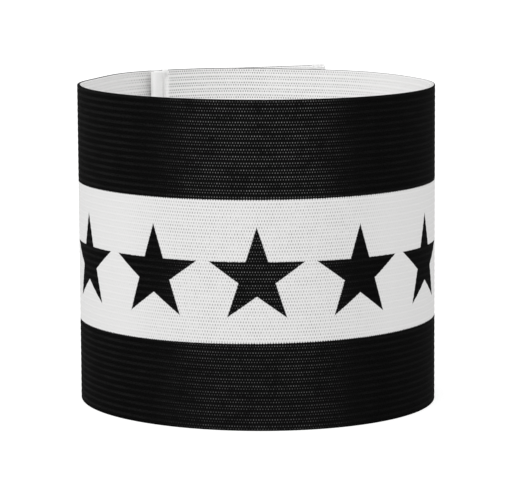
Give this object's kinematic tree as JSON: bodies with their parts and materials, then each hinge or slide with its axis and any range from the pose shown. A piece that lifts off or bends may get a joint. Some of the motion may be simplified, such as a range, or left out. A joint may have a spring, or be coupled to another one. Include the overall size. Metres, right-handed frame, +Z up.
{
  "type": "captain armband",
  "caption": "Elastic captain armband: a ribbed black strip with a wide white stripe, closed to a ring by hook and loop and standing on its lower rim, with a short free tail.",
  "frame": {"origin": "on the surface that the lower rim stands on, below the middle of the bounding box", "axes": "+Z up along the arm hole, -Y the front, +X to the right seen from the front, so the overlap is at the back"},
  "size_m": [0.0898, 0.0942, 0.0808],
  "materials": {
    "elastic": "ribbed woven elastic, printed black with a white stripe on the outer face, white inside, matt",
    "hook_and_loop": "black hook and loop tape, matt",
    "overlock_thread": "white polyester sewing thread, slight sheen"
  },
  "bodies": {
    "root": {"band": "elastic", "hook_and_loop_patch": "hook_and_loop", "inner_end_overlock": "overlock_thread", "outer_end_overlock": "overlock_thread"}
  },
  "joints": []
}
